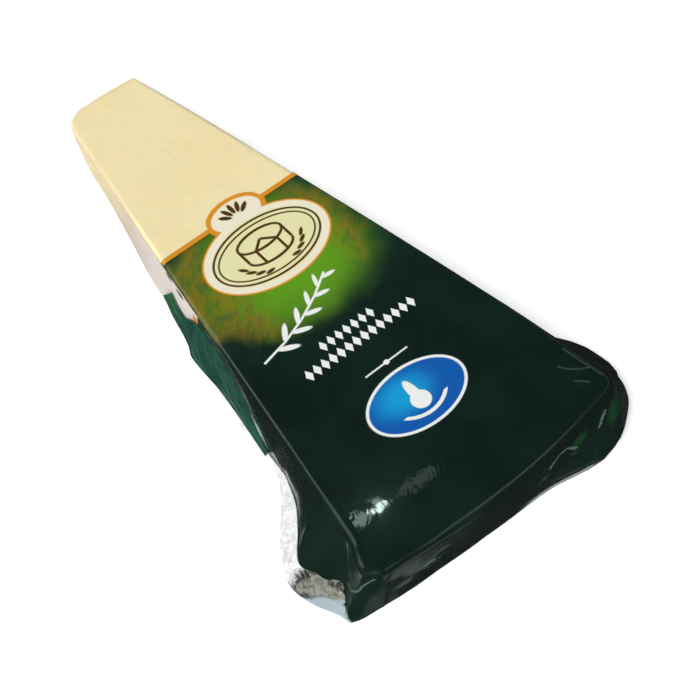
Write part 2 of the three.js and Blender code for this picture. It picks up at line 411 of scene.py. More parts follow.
def addNode(kind, inputs={}, tree=None, **settings):
    # it goes into the tree that its inputs come from, unless one is given
    if tree is None:
        tree = next(value.id_data for value in inputs.values() if isSocket(value))
    made = tree.nodes.new(kind)
    for key, value in settings.items():
        setattr(made, key, value)
    setInputs(made, inputs)
    return made


def maths(operation, first, second=0.0, third=0.0):
    return addNode("ShaderNodeMath", {0: first, 1: second, 2: third}, operation=operation).outputs[0]


def fade(value, low, high):
    # 0 at low, 1 at high, whichever of the two is larger
    return addNode("ShaderNodeMapRange", {"Value": value, "From Min": low, "From Max": high},
                   interpolation_type="SMOOTHSTEP").outputs["Result"]


def plus(first, second):
    return maths("ADD", first, second)


def minus(first, second):
    return maths("SUBTRACT", first, second)


def farFrom(value, middle):
    return maths("ABSOLUTE", minus(value, middle))


def times(*factors):
    product = factors[0]
    for factor in factors[1:]:
        product = maths("MULTIPLY", product, factor)
    return product


def paint(under, colour, *masks):
    inputs = {"Factor": times(*masks), "A": under, "B": colour}
    return addNode("ShaderNodeMix", inputs, data_type="RGBA").outputs["Result"]


def splitUp(vector):
    return addNode("ShaderNodeSeparateXYZ", {"Vector": vector}).outputs


def planPlace(material):
    # object coordinates as millimetres in the plan
    coordinates = addNode("ShaderNodeTexCoord", tree=material.node_tree)
    return addNode("ShaderNodeMapping", {
        "Vector": coordinates.outputs["Object"],
        "Location": tuple(-planOrigin),
        "Scale": (1 / mm, 1 / mm, 1 / mm),
    }).outputs["Vector"]


def noiseTexture(place, scale, detail=2.0, roughness=0.5, distortion=0.0, stretch=(1, 1, 1), turn=0.0):
    moved = addNode("ShaderNodeMapping", {
        "Vector": place, "Scale": stretch, "Rotation": (0, 0, math.radians(turn))},
        vector_type="TEXTURE")
    return addNode("ShaderNodeTexNoise", {
        "Vector": moved.outputs["Vector"], "Scale": scale, "Detail": detail,
        "Roughness": roughness, "Distortion": distortion}).outputs["Fac"]


def bump(height, strength, distance, normal=None):
    inputs = {"Height": height, "Strength": strength, "Distance": distance}
    if normal is not None:
        inputs["Normal"] = normal
    return addNode("ShaderNodeBump", inputs).outputs["Normal"]


cheese = {
    "colours": {"straw": (251, 235, 183), "deepStraw": (250, 232, 176), "streak": (238, 218, 160),
                "grain": (250, 240, 206)},
    "columns": 44, "rows": 96, "wallLevels": 10,
    "inset": 0.3,
    "grain": 0.03, "grainSize": 5.0,
    "underPrint": 0.9,                    # it lies this much lower under the print
    "underPrintEnd": (80, 92),
}


def cheeseMaterial():
    ink = inkFrom(cheese["colours"])
    material = newMaterial("agedStrawCheese")
    place = planPlace(material)
    clouds = noiseTexture(place, 0.035, 3)
    colour = paint(ink["straw"], ink["deepStraw"], fade(clouds, 0.35, 0.65))
    streaks = noiseTexture(place, 0.5, 3, 0.6, 0.4, (7, 1, 3), 100)
    colour = paint(colour, ink["streak"], fade(streaks, 0.58, 0.72), 0.4)
    grain = noiseTexture(place, 1.6, 4, 0.65)
    colour = paint(colour, ink["grain"], fade(grain, 0.55, 0.75), 0.35)
    return finishMaterial(material, {
        "Base Color": colour, "Roughness": 0.42, "Normal": bump(grain, 0.12, 0.0004),
        "Subsurface Weight": 0.15, "Subsurface Radius": (1.0, 0.6, 0.3), "Subsurface Scale": 0.004})


# Film round the pack, and its print, drawn in plan millimetres on the top face

film = {
    "columns": 88, "rows": 200, "wallLevels": 28,
    "thickness": 0.12,
    "weld": 0.002,
    "fullSlack": 8.0, "markedSlack": 6.0,   # an ear that reaches this far is as slack as can be
    "ridgeSize": (8.0, 8.0, 26.0), "ridgeRise": 0.22, "ridgeMiddle": 0.3,
    "crinkleSize": 4.0, "crinkleRise": 0.05,
    "undersideRelief": 0.2,
    "blockSide": 90, "blockRind": -40, "blockFoot": -10, "blockHeight": 50,   # cuts the printed part out
    "printEnd": 117.0,
    "sidePrintEnd": 95.0,
    "sidePrintDepth": 0.1,
    "domeX": 3.3, "domeHalfWidth": 10.0, "domeRise": 5.6,
    "creases": [                          # path, width and rise
        ([(-42, -2.2, 19), (-34, -3.6, 12), (-35, -3.4, 4)], 3.2, 0.4),
        ([(-31, -4.2, 11.5), (-27, -4.6, 12.4), (-22, -5, 14.5)], 0.9, 0.8),
        ([(13, -6.5, 11.5), (16.7, -6.6, 14.5), (22, -6.4, 16.3), (25, -6.4, 15.6), (28, -7, 12.5)],
         1.0, 1.1),
        ([(36, -6, 14.5), (38.3, -5, 17), (40.6, -3.4, 20.5)], 1.0, 1.2),
        ([(30, -7, 9), (40, -6.5, 12), (50, -4, 11), (56, 6, 9)], 2.4, 0.6),
        ([(37, 12.6, 24), (38, 10.3, 24), (41.2, 7.3, 24), (44.6, 6, 23.6)], 0.8, 0.35),
        ([(37.2, 5.8, 24), (38.4, 4.2, 24), (40.2, 2.6, 24)], 0.8, 0.3),
        ([(46, 22, 22), (51, 20, 16), (58, 16, 9)], 1.2, 0.8),
        ([(-41.5, 33, 19), (-45, 28, 12), (-50, 24, 5)], 1.0, 0.5),
        ([(-32, -4.5, 1), (-10, -6.5, 1), (8, -7, 1), (28, -9, 1)], 4.5, -1.1),   # the rind's foot
    ],
}

printInk = {
    "deepGreen": (15, 31, 25), "deepGreenPatch": (19, 38, 31), "sideTeal": (36, 68, 55),
    "glowGreen": (80, 118, 32), "glowBright": (98, 158, 34), "mossBrown": (134, 118, 28),
    "hazeTeal": (44, 88, 58), "orange": (226, 148, 42), "orangeBrown": (166, 98, 36),
    "offWhite": (246, 238, 212), "cream": (238, 233, 180), "brown": (82, 56, 22), "white": (244, 246, 244),
    "blue": (22, 92, 176), "blueGlow": (28, 158, 218), "edgeHighlightGrey": (112, 104, 88),
    "earSheenGreen": (24, 64, 40), "creaseGlint": (150, 182, 164), "footGrey": (196, 204, 210),
    "sheenGrey": (56, 68, 74),
}

artwork = {                               # an oval is its centre and its two half sizes
    "topFrom": 22.6,                      # the drawing is only on faces above this height
    "wideGlow": ((0.5, 98), (38, 33)),
    "brightGlow": ((4, 88), (32, 22)),
    "haze": ((-1, 96), (36, 28)),
    "hazeMiddle": 3.0,
    "hazeFrom": (11, 22),                 # the haze keeps this far from its middle line
    "paintedEdgeHighlight": ((-36.6, 46.0), (-24.5, 115.5)),
    "borderWidth": 1.5,
    "emblem": (2.6, 100.3), "emblemSize": (21.7, 13.8),
    "sprig": ((-25.0, 68.5), (9.0, 82.0)),
    "lozengePitch": 3.0,
    "lozenges": [((0.5, 62), 7, (1.15, 2.0)), ((1.5, 57), 14, (1.25, 2.1))],   # middle, count, half sizes
    "rule": ((-6.5, 46), (9.5, 46)),
    "ruleDot": ((1.5, 46), (1.0, 0.8)),
    "badge": (0.5, 32.0), "badgeSize": (17.0, 10.4),
}

marks = {                                 # painted glints along creases, painted sheens, a pale grey band at the foot, and ruffled places of the film
    "rindFolds": [[(15.5, 15.6), (19.6, 18.0), (22.6, 18.0), (26.4, 15.6)],
                  [(-31, 12.6), (-28.6, 13.2), (-26.6, 13.6)],
                  [(35.6, 15.2), (37, 17), (39.4, 19.4)]],                     # x and height
    "cornerFolds": [[(6.4, 10.2), (4.6, 9.4), (3.0, 11.0), (1.6, 13.2),
                     (0.6, 16.9), (-0.6, 19.4), (-1.7, 21.6)]],                # y and height
    "topWrinkles": [[(37, 12.6), (38.2, 10.2), (41.2, 7.5), (44, 6.2)],
                    [(37.2, 5.8), (40.2, 2.8)],
                    [(42.5, 16), (44.6, 2)]],                                  # x and y
    "earSheens": [((44.5, 15.6), (4.8, 2.8), 12, 2.5), ((27.5, 16.6), (3.4, 1.9), 10, 1.5)],
    "foot": ((20, -9), (13, 5), -2, 3.0),
    "sheen": ((50, 9), (4, 4.5), 0, 4.0),
    "ruffled": [((-38.5, 13.6), (5.5, 4), 0, 2.0), ((-18, 11.6), (9, 4), 0, 3.0)],
}


def oval(flat, centre, size, turn=0.0):
    # 1 on the border of an oval, less inside it
    moved = addNode("ShaderNodeMapping", {
        "Vector": flat, "Location": (*centre, 0), "Rotation": (0, 0, math.radians(turn)),
        "Scale": (*size, 1)}, vector_type="TEXTURE").outputs["Vector"]
    return addNode("ShaderNodeVectorMath", {0: moved}, operation="LENGTH").outputs["Value"]


def ovalSpot(flat, centre, size, turn=0.0, soft=0.3):
    half = soft / 2 / min(size)
    return fade(oval(flat, centre, size, turn), 1 + half, 1 - half)


def ovalRing(flat, centre, size, width, soft=0.25):
    # a ring whose outer border is the oval
    outer = ovalSpot(flat, centre, size, 0, soft)
    inner = ovalSpot(flat, centre, (size[0] - width, size[1] - width), 0, soft)
    return minus(outer, inner)


def bar(x, y, start, end, width, soft=0.3):
    # a straight stroke from start to end
    (x0, y0), (x1, y1) = start, end
    length = math.hypot(x1 - x0, y1 - y0)
    ax, ay = (x1 - x0) / length, (y1 - y0) / length
    ahead = plus(times(x, ax), times(y, ay))
    aside = minus(times(y, ax), times(x, ay))
    middle = ax * (x0 + x1) / 2 + ay * (y0 + y1) / 2
    fromMiddle = farFrom(ahead, middle)
    fromLine = farFrom(aside, ax * y0 - ay * x0)
    return times(fade(fromMiddle, length / 2 + soft / 2, length / 2 - soft / 2),
                 fade(fromLine, width / 2 + soft / 2, width / 2 - soft / 2))


def anyOf(masks):
    mask = masks[0]
    for other in masks[1:]:
        mask = maths("MAXIMUM", mask, other)
    return mask


def strokes(x, y, paths, width, soft):
    # bent lines, each along its own path
    return anyOf([bar(x, y, start, end, width, soft)
                  for path in paths for start, end in zip(path, path[1:])])


def lozengeRow(x, y, middle, count, pitch, size, soft=0.25):
    # evenly spaced lozenges, centred on middle
    start = middle[0] - count * pitch / 2
    step = maths("FRACT", maths("DIVIDE", minus(x, start), pitch))
    fromCentre = times(farFrom(step, 0.5), pitch)
    rise = farFrom(y, middle[1])
    across, upwards = maths("DIVIDE", fromCentre, size[0]), maths("DIVIDE", rise, size[1])
    total = plus(across, upwards)
    half = soft / 2 / min(size)
    inRow = fade(farFrom(x, middle[0]), count * pitch / 2 + 0.01, count * pitch / 2 - 0.01)
    return times(fade(total, 1 + half, 1 - half), inRow)


def leafSprig(flat, x, y, start, end, bow, leaves, leafSize, stem):
    # a bowed stem with leaves to both sides and one at its end
    (x0, y0), (x1, y1) = start, end
    length = math.hypot(x1 - x0, y1 - y0)
    ax, ay = (x1 - x0) / length, (y1 - y0) / length

    def onStem(t):
        side = bow * 4 * t * (1 - t)
        return x0 + (x1 - x0) * t - ay * side, y0 + (y1 - y0) * t + ax * side

    points = [onStem(t) for t in np.linspace(0, 1, 5)]
    parts = [bar(x, y, points[i], points[i + 1], stem) for i in range(4)]
    heading = math.degrees(math.atan2(ay, ax))
    for k in range(leaves):
        t = 0.16 + 0.78 * k / (leaves - 1)
        side = 1 if k % 2 else -1
        bowTurn = math.degrees(math.atan(4 * bow * (1 - 2 * t) / length))
        turn = heading + bowTurn + side * 38
        scale = 1 - 0.35 * t
        px, py = onStem(t)
        reach = leafSize[0] * scale * 0.95
        centre = (px + reach * math.cos(math.radians(turn)), py + reach * math.sin(math.radians(turn)))
        parts.append(ovalSpot(flat, centre, (leafSize[0] * scale, leafSize[1] * scale), turn))
    return anyOf(parts)


def wheelDrawing(flat, x, y, middle):
    # a wheel of cheese with a wedge cut out, in outline
    cx, cy = middle
    rx, ry, thick, line = 8.6, 3.9, 5.4, 0.95
    top, foot = (cx, cy + thick / 2), (cx, cy - thick / 2)
    footRing = ovalRing(flat, foot, (rx, ry), line)
    parts = [ovalRing(flat, top, (rx, ry), line),
             times(footRing, fade(y, foot[1] + 0.2, foot[1] - 0.2))]
    for side in (-1, 1):
        edgeX = cx + side * (rx - line / 2)
        parts.append(bar(x, y, (edgeX, top[1]), (edgeX, foot[1]), line))
    for cutAngle in (-118, -58):
        a = math.radians(cutAngle)
        onRim = (cx + (rx - line / 2) * math.cos(a), top[1] + (ry - line / 2) * math.sin(a))
        parts.append(bar(x, y, top, onRim, line))
        parts.append(bar(x, y, onRim, (onRim[0], onRim[1] - thick), line))
    return anyOf(parts)


def paintGlow(place, flat, x, onTop, colour, ink):
    # the light field round the emblem, with a fine brown haze to both sides of it
    mottled = times(minus(noiseTexture(place, 0.09, 4), 0.5), 0.5)
    wide = plus(oval(flat, *artwork["wideGlow"]), mottled)
    colour = paint(colour, ink["glowGreen"], fade(wide, 1.0, 0.5), onTop)
    close = plus(oval(flat, *artwork["brightGlow"]), times(mottled, 0.5))
    colour = paint(colour, ink["glowBright"], fade(close, 1.05, 0.2), onTop)

    aside = farFrom(x, artwork["hazeMiddle"])
    hazy = fade(plus(oval(flat, *artwork["haze"]), mottled), 1.0, 0.8)
    hazy = times(hazy, fade(aside, *artwork["hazeFrom"]), onTop)
    moss = fade(noiseTexture(flat, 0.22, 3, 0.6, 0.0, (2.0, 1, 1), 40), 0.3, 0.58)
    colour = paint(colour, ink["mossBrown"], moss, hazy, 0.6)
    teal = fade(noiseTexture(place, 0.3, 3, 0.6, 0.0, (1.8, 1, 1), 40), 0.5, 0.64)
    colour = paint(colour, ink["hazeTeal"], teal, hazy, 0.4)
    hatch = fade(noiseTexture(flat, 1.35, 2, 0.6, 0.5, (6.0, 1, 1), 32), 0.52, 0.64)
    patches = fade(noiseTexture(place, 0.16, 2), 0.38, 0.56)
    return paint(colour, ink["orangeBrown"], hatch, patches, hazy, 0.42)


def paintEmblem(flat, x, y, onTop, colour, ink):
    # an oval plate with a dome that rises over the print's edge
    emblem, size, border = artwork["emblem"], artwork["emblemSize"], artwork["borderWidth"]
    dome = (film["domeX"], film["printEnd"] - 1.0)
    domeOuter = (film["domeHalfWidth"] + 0.6, film["domeRise"] + 1.4)
    domeInner = (domeOuter[0] - border * 1.2, domeOuter[1] - border * 1.2)
    rim = anyOf([ovalSpot(flat, emblem, (size[0] + 0.55, size[1] + 0.55)), ovalSpot(flat, dome, domeOuter)])
    colour = paint(colour, ink["orange"], rim, onTop)
    plate = anyOf([ovalSpot(flat, emblem, size), ovalSpot(flat, dome, domeInner)])
    colour = paint(colour, ink["offWhite"], plate, onTop)
    inside = ovalSpot(flat, emblem, (size[0] * 0.86, size[1] * 0.86), 0, 0.8)
    colour = paint(colour, ink["cream"], inside, onTop)

    drawing = [ovalRing(flat, emblem, (size[0] - 2.6, size[1] - 2.6), 0.75),
               ovalRing(flat, emblem, (size[0] - 4.3, size[1] - 4.3), 0.6),
               wheelDrawing(flat, x, y, (emblem[0], emblem[1] + 1.0))]
    for turn in range(-54, 55, 27):       # leaf fan in the dome
        a = math.radians(90 + turn)
        centre = (dome[0] + 4.4 * math.cos(a), dome[1] - 1.6 + 4.0 * math.sin(a))
        drawing.append(ovalSpot(flat, centre, (2.1, 0.75), math.degrees(a)))
    for side in (-1, 1):                  # leaves below the wheel
        for k in range(4):
            a = math.radians(-90 + side * (26 + 16 * k))
            centre = (emblem[0] + 11.6 * math.cos(a), emblem[1] + 8.6 * math.sin(a))
            drawing.append(ovalSpot(flat, centre, (1.7, 0.6), math.degrees(a) + side * 62))
    return paint(colour, ink["brown"], anyOf(drawing), onTop)


def paintWhiteParts(flat, x, y, onTop, colour, ink):
    # a sprig, two rows of lozenges and a thin rule with a dot
    parts = [leafSprig(flat, x, y, *artwork["sprig"], -2.2, 9, (3.6, 0.95), 0.7)]
    for middle, count, size in artwork["lozenges"]:
        parts.append(lozengeRow(x, y, middle, count, artwork["lozengePitch"], size))
    parts.append(bar(x, y, *artwork["rule"], 0.5))
    parts.append(ovalSpot(flat, *artwork["ruleDot"]))
    return paint(colour, ink["white"], anyOf(parts), onTop)


def paintBadge(flat, y, onTop, colour, ink):
    # a blue oval with a drop over an arc
    (cx, cy), size = artwork["badge"], artwork["badgeSize"]
    colour = paint(colour, ink["white"], ovalSpot(flat, (cx, cy), size), onTop)
    field = ovalSpot(flat, (cx, cy), (size[0] - 0.9, size[1] - 0.9))
    light = fade(oval(flat, (cx - 3, cy + 2.5), (14, 9)), 1.0, 0.2)
    colour = paint(colour, paint(ink["blue"], ink["blueGlow"], light), field, onTop)
    drop = anyOf([ovalSpot(flat, (cx, cy - 1.6), (3.2, 3.0)), ovalSpot(flat, (cx, cy + 1.4), (1.6, 4.6))])
    arc = times(ovalRing(flat, (cx, cy + 3.5), (11.5, 10.5), 1.1), fade(y, cy - 3.4, cy - 3.8))
    return paint(colour, ink["white"], anyOf([drop, arc]), onTop)


def printMaterial():
    ink = inkFrom(printInk)
    material = newMaterial("darkGreenPrintedFilm")
    place = planPlace(material)
    x, y, z = splitUp(place)
    flat = addNode("ShaderNodeVectorMath", {0: place, 1: (1, 1, 0)}, operation="MULTIPLY").outputs["Vector"]
    onTop = fade(z, artwork["topFrom"] - 0.3, artwork["topFrom"] + 0.3)

    clouds = noiseTexture(place, 0.06, 3)
    colour = paint(ink["deepGreen"], ink["deepGreenPatch"], fade(clouds, 0.35, 0.65))
    towardsEnd = fade(y, 60, 100)
    colour = paint(colour, ink["sideTeal"], towardsEnd, fade(clouds, 0.25, 0.6), 0.8)
    colour = paintGlow(place, flat, x, onTop, colour, ink)

    end, border = film["printEnd"], artwork["borderWidth"]
    colour = paint(colour, ink["deepGreen"], fade(y, end - 4, end - 1), 0.4)
    # painted highlight: a thin brown-grey line along the top-left edge, where the film's rounded edge
    # catches light
    paintedEdgeHighlight = bar(x, y, *artwork["paintedEdgeHighlight"], 0.3, 0.4)
    colour = paint(colour, ink["edgeHighlightGrey"], paintedEdgeHighlight, onTop, 0.2)
    colour = paint(colour, ink["orange"], fade(y, end - border - 0.15, end - border + 0.15))
    colour = paintEmblem(flat, x, y, onTop, colour, ink)
    colour = paintWhiteParts(flat, x, y, onTop, colour, ink)
    colour = paintBadge(flat, y, onTop, colour, ink)

    # the rind end and the ears
    upright = addNode("ShaderNodeCombineXYZ", {"X": x, "Y": z}).outputs["Vector"]
    onRind = fade(y, 4, 0)
    # painted sheen: lighter green patches where facets of the ear catch light
    earSheenMask = anyOf([ovalSpot(upright, *glow) for glow in marks["earSheens"]])
    colour = paint(colour, ink["earSheenGreen"], earSheenMask, onRind)
    # painted glints: pale lines along the folds of the rind end and the left corner, which also raise the
    # bump below
    folds = times(strokes(x, z, marks["rindFolds"], 0.15, 0.8), onRind)
    corner = times(strokes(y, z, marks["cornerFolds"], 0.15, 0.8), fade(x, -42, -44))
    white = maths("MAXIMUM", folds, corner)
    colour = paint(colour, ink["creaseGlint"], white, 0.7)
    # painted glints along the wrinkles near the top's right corner, which also raise the bump below
    wrinkles = times(strokes(x, y, marks["topWrinkles"], 0.1, 0.8), onTop)
    colour = paint(colour, ink["creaseGlint"], wrinkles, 0.3)
    foot = ovalSpot(flat, *marks["foot"])
    colour = paint(colour, ink["footGrey"], foot, fade(z, 4.8, 3.4), 0.85)
    sheen = ovalSpot(upright, *marks["sheen"])
    colour = paint(colour, ink["sheenGrey"], sheen, onRind, 0.6)

    # slack film is crumpled, the top is slightly wavy and ruffled near the left corner
    slack = addNode("ShaderNodeAttribute", tree=material.node_tree, attribute_name="slack").outputs["Fac"]
    crumple = times(noiseTexture(place, 0.2, 1, 0.5, 0.8), slack, 0.5)
    height = plus(crumple, times(noiseTexture(place, 0.3, 2), 0.04))
    ruffled = anyOf([ovalSpot(flat, *spot) for spot in marks["ruffled"]])
    ruffles = times(noiseTexture(flat, 0.42, 2, 0.6, 0.8, (1, 2.6, 1), -20), ruffled, onTop)
    height = plus(height, times(ruffles, 0.13))
    normal = bump(height, 0.5, 0.0006)
    normal = bump(white, 1.0, 0.0004, normal)
    normal = bump(wrinkles, 1.0, 0.0003, normal)

    # little coat on the left ear, which would mirror the crumpled corner
    dull = times(fade(x, -38, -44), fade(z, 22, 17), 0.8)
    return finishMaterial(material, {
        "Base Color": colour, "Roughness": 0.22, "Specular IOR Level": 0.16, "Normal": normal,
        "Coat Weight": minus(1.0, dull), "Coat Roughness": 0.045, "Coat Normal": normal})


clearInk = {
    "clear": (255, 248, 244), "milky": (250, 240, 236), "amber": (232, 188, 118), "orange": (212, 136, 62),
    "tick": (62, 72, 34), "darkEdge": (34, 52, 34),
}

sideMarks = {                             # on the clear film's left wall, in y and height
    "amber": ((156, 22.7), (25, 1.5), 0, 1.2),
    "orangeTip": ((95.8, 17.2), (2.6, 3.2), 0, 1.8),
    "ticks": [((112.5, 21.4), (1.9, 0.7)), ((106, 20.4), (2.3, 0.9))],
}


def clearMaterial():
    ink = inkFrom(clearInk)
    material = newMaterial("clearFilm")
    place = planPlace(material)
    x, y, z = splitUp(place)
    haze = noiseTexture(place, 0.08, 3)
    colour = paint(ink["clear"], ink["milky"], haze)
    milky = times(fade(z, 23.4, 21.5), fade(y, 172, 120), 0.6)
    alpha = plus(milky, times(haze, 0.10))

    sideways = addNode("ShaderNodeCombineXYZ", {"X": y, "Y": z}).outputs["Vector"]
    amber = ovalSpot(sideways, *sideMarks["amber"])
    amber = times(amber, fade(z, 23.95, 23.6), 0.4)
    colour = paint(colour, ink["amber"], amber)
    tip = ovalSpot(sideways, *sideMarks["orangeTip"])
    colour = paint(colour, ink["orange"], tip)
    ticks = anyOf([ovalSpot(sideways, *tick) for tick in sideMarks["ticks"]])
    colour = paint(colour, ink["tick"], ticks)

    # the print's dark edge wraps just over the corner
    end = film["printEnd"]
    wrapped = times(fade(z, 22.3, 22.8), fade(y, end + 0.2, end - 0.1), fade(x, 0, -5))
    colour = paint(colour, ink["darkEdge"], wrapped)
    alpha = anyOf([alpha, amber, tip, wrapped, times(ticks, 0.7)])
    waves = noiseTexture(place, 0.16, 3, 0.5, 0.6)
    return finishMaterial(material, {
        "Base Color": colour, "Roughness": 0.12, "Alpha": alpha, "Normal": bump(waves, 0.3, 0.0005)})


# Making the cheese and the film

def clingingWaves(points):
    # low waves that the cheese and the film over it share
    onWall = np.clip((pack["height"] - points[:, 2]) / 2.5, 0, 1)
    broad, narrow = noiseAt(points, 18.0, 1), noiseAt(points, 7.0, 2)
    return (0.03 + 0.09 * onWall) * broad + (0.008 + 0.04 * onWall) * narrow


def makeCheese():
    obj, parts = wrappedBody("cheese", cheese["columns"], cheese["rows"], cheese["wallLevels"],
                             cheese["inset"], False)
    points = readPoints(obj)
    height = clingingWaves(points) + cheese["grain"] * noiseAt(points, cheese["grainSize"], 3)
    start, end = cheese["underPrintEnd"]
    height -= cheese["underPrint"] * smoothStep(-points[:, 1], -end, -start)
    points += readPoints(obj, "normal") * height[:, None]
    writePoints(obj, points)
    toFrame(obj)
    finishPiece(obj, ["cheese_wedge"], cheeseMaterial())
    print("cheese made,", len(obj.data.polygons), "faces")


# Film round the whole pack, cut in two where the print ends

def filmRelief(obj, parts):
    points, normals = readPoints(obj), readPoints(obj, "normal")
    slack = np.clip(earReach(parts["travelled"], points[:, 2]) / film["fullSlack"], 0, 1)
    slack = np.where(parts["isTop"] | parts["isBottom"], 0, slack)
    height = clingingWaves(points)
    ridges = ridgesAt(points, film["ridgeSize"], 4) - film["ridgeMiddle"]
    crinkles = noiseAt(points, film["crinkleSize"], 5)
    height += slack * (film["ridgeRise"] * ridges + film["crinkleRise"] * crinkles)
    for path, width, rise in film["creases"]:
        height += creaseAt(points, path, width, rise)
    height[parts["isBottom"]] *= film["undersideRelief"]
    writePoints(obj, points + normals * height[:, None])


def markSlack(obj):
    # how loosely the film lies: 0 where it clings, 1 out in the ears
    points = readPoints(obj) / mm - planOrigin
    slack = np.clip(earReach(nearestOnOutline(points)[0], points[:, 2]) / film["markedSlack"], 0, 1)
    slack[points[:, 2] > pack["height"] - pack["topOutlineDrop"]] = 0
    attribute = obj.data.attributes.new("slack", "FLOAT", "POINT")
    attribute.data.foreach_set("value", slack.astype(np.float32))


def printedPart():
    # upright block over the printed part of the plan
    end, sideEnd, depth = film["printEnd"], film["sidePrintEnd"], film["sidePrintDepth"]
    rindLeft, tipLeft = pack["corners"][0], pack["corners"][3]

    def leftEdge(y):
        return rindLeft[0] + (tipLeft[0] - rindLeft[0]) * (y - rindLeft[1]) / (tipLeft[1] - rindLeft[1])

    dome = [(film["domeX"] + film["domeHalfWidth"] * math.cos(a), end + film["domeRise"] * math.sin(a))
            for a in np.linspace(0, math.pi, 49)]
    side, rind = film["blockSide"], film["blockRind"]
    corners = [(-side, rind), (side, rind), (side, end), *dome, (leftEdge(end) + depth, end),
               (leftEdge(sideEnd) + depth, sideEnd), (-side, sideEnd)]
    deselectAll()
    bpy.ops.mesh.primitive_circle_add(vertices=len(corners), radius=1, fill_type="NGON")
    obj = bpy.context.object
    writePoints(obj, np.array([(x, y, film["blockFoot"]) for x, y in corners]))
    bpy.ops.object.mode_set(mode="EDIT")
    bpy.ops.mesh.select_all(action="SELECT")
    bpy.ops.mesh.extrude_region_move(TRANSFORM_OT_translate={"value": (0, 0, film["blockHeight"])})
    turnFacesOut()
    obj.data.materials.append(bpy.data.materials.new("cut"))
    return obj


def cutFilm(whole, cutter, name, operation):
    makeActive(whole)
    part = whole.copy()
    part.data = whole.data.copy()
    part.name = part.data.name = name
    bpy.context.collection.objects.link(part)
    part.data.materials.append(bpy.data.materials.new("skin"))
    applyModifier(part, "BOOLEAN", object=cutter, operation=operation, solver="EXACT",
                  material_mode="TRANSFER")
    cutSlots = [i for i, m in enumerate(part.data.materials) if m and m.name.startswith("cut")]
    bpy.ops.object.mode_set(mode="EDIT")
    bpy.ops.mesh.select_all(action="DESELECT")
    bpy.ops.object.mode_set(mode="OBJECT")
    for face in part.data.polygons:
        face.select = face.material_index in cutSlots
    bpy.ops.object.mode_set(mode="EDIT")
    bpy.ops.mesh.select_mode(type="FACE")
    bpy.ops.mesh.delete(type="FACE")
    bpy.ops.mesh.select_all(action="SELECT")
    bpy.ops.mesh.remove_doubles(threshold=film["weld"])
    bpy.ops.object.mode_set(mode="OBJECT")
    toFrame(part)
    markSlack(part)
    applyModifier(part, "SOLIDIFY", thickness=film["thickness"] * mm, offset=-1)
    return part


def makeFilm():
    whole, parts = wrappedBody("film", film["columns"], film["rows"], film["wallLevels"], 0.0, True)
    filmRelief(whole, parts)
    cutter = printedPart()
    printed = cutFilm(whole, cutter, "printedFilm", "INTERSECT")
    clear = cutFilm(whole, cutter, "clearFilm", "DIFFERENCE")
    finishPiece(printed, ["film_printed"], printMaterial())
    finishPiece(clear, ["film_clear_tip"], clearMaterial())
    bpy.data.objects.remove(whole)
    bpy.data.objects.remove(cutter)
    print("film made,", len(printed.data.polygons), "and", len(clear.data.polygons), "faces")


# Lap and seam strip on the left side; stations are distances up that side from the rind corner

flap = {
    "columns": 110, "rows": 26, "thickness": 0.3, "startSlant": 0.0, "endSlant": 6.0,
    "top": [(57, 3), (60, 5), (64, 8.2), (69.3, 14.4), (77.5, 19.2), (86.8, 20.2), (94.7, 19.4),
            (101.3, 16.0), (106, 11.8), (110, 11.8), (114, 14.8)],
    "edgeHeight": [(57, 1.6), (64, 3), (75, 3.8), (96, 3.8), (104, 2.8), (110, 2.6), (114, 6.6)],
    "edgeReach": [(57, 0.8), (64, 1.1), (73, 1.3), (83, 1.7), (89.5, 2.5), (96.6, 3.1), (100.2, 1.9),
                  (106, 0.9), (114, 0.3)],
    "lift": 0.4,
    "reliefWidth": 14, "ridgeSize": (14, 5, 5), "ridgeSeed": 8, "ridgeMiddle": 0.0,
    "ridgeRise": 0.5, "crumpledRise": 0.0, "crumpledUntil": (0, 1),
    "colours": {"teal": (28, 66, 54), "lightTeal": (38, 84, 66), "scuff": (70, 116, 96),
                "leafGreen": (52, 104, 66), "paleCrease": (112, 152, 134)},
    "paleCreaseLines": [[(98, 15), (90, 8)], [(90, 17), (85, 11)], [(84, 14), (75, 9)], [(78, 16), (70, 9)],
                  [(104, 9), (97, 6)]],
}

strip = {
    "columns": 200, "rows": 24, "thickness": 0.3, "startSlant": -5.7, "endSlant": 0.0,
    "top": [(7.4, 8.2), (9.8, 7.8), (12.2, 5.8), (15, 5.8), (19, 4.8), (25, 4.6), (36, 5), (42, 4.3),
            (50, 3.6), (57, 2.2), (66, 2.2), (106, 2.2)],
    "edgeHeight": [(7.4, 0.5), (106, 0.5)],
    "edgeReach": [(7.4, 7.4), (10, 9.8), (13, 12.6), (18, 15.3), (22, 15.6), (30, 12.5), (36, 8.8),
                  (42, 4.8), (50, 0.9), (57, 1.3), (66, 1.8), (80, 2.6), (98, 2.4), (106, 0.8)],
    "lift": 0.22,
    "reliefWidth": 10, "ridgeSize": (4, 4, 4), "ridgeSeed": 9, "ridgeMiddle": 0.3,
    "ridgeRise": 0.25, "crumpledRise": 0.9, "crumpledUntil": (20, 34),
    "colours": {"milk": (253, 252, 254), "cloud": (236, 236, 240), "foldDark": (46, 54, 48),
                "foldGrey": (152, 153, 140), "glintWhite": (250, 250, 246), "paleBlue": (160, 176, 182)},
}


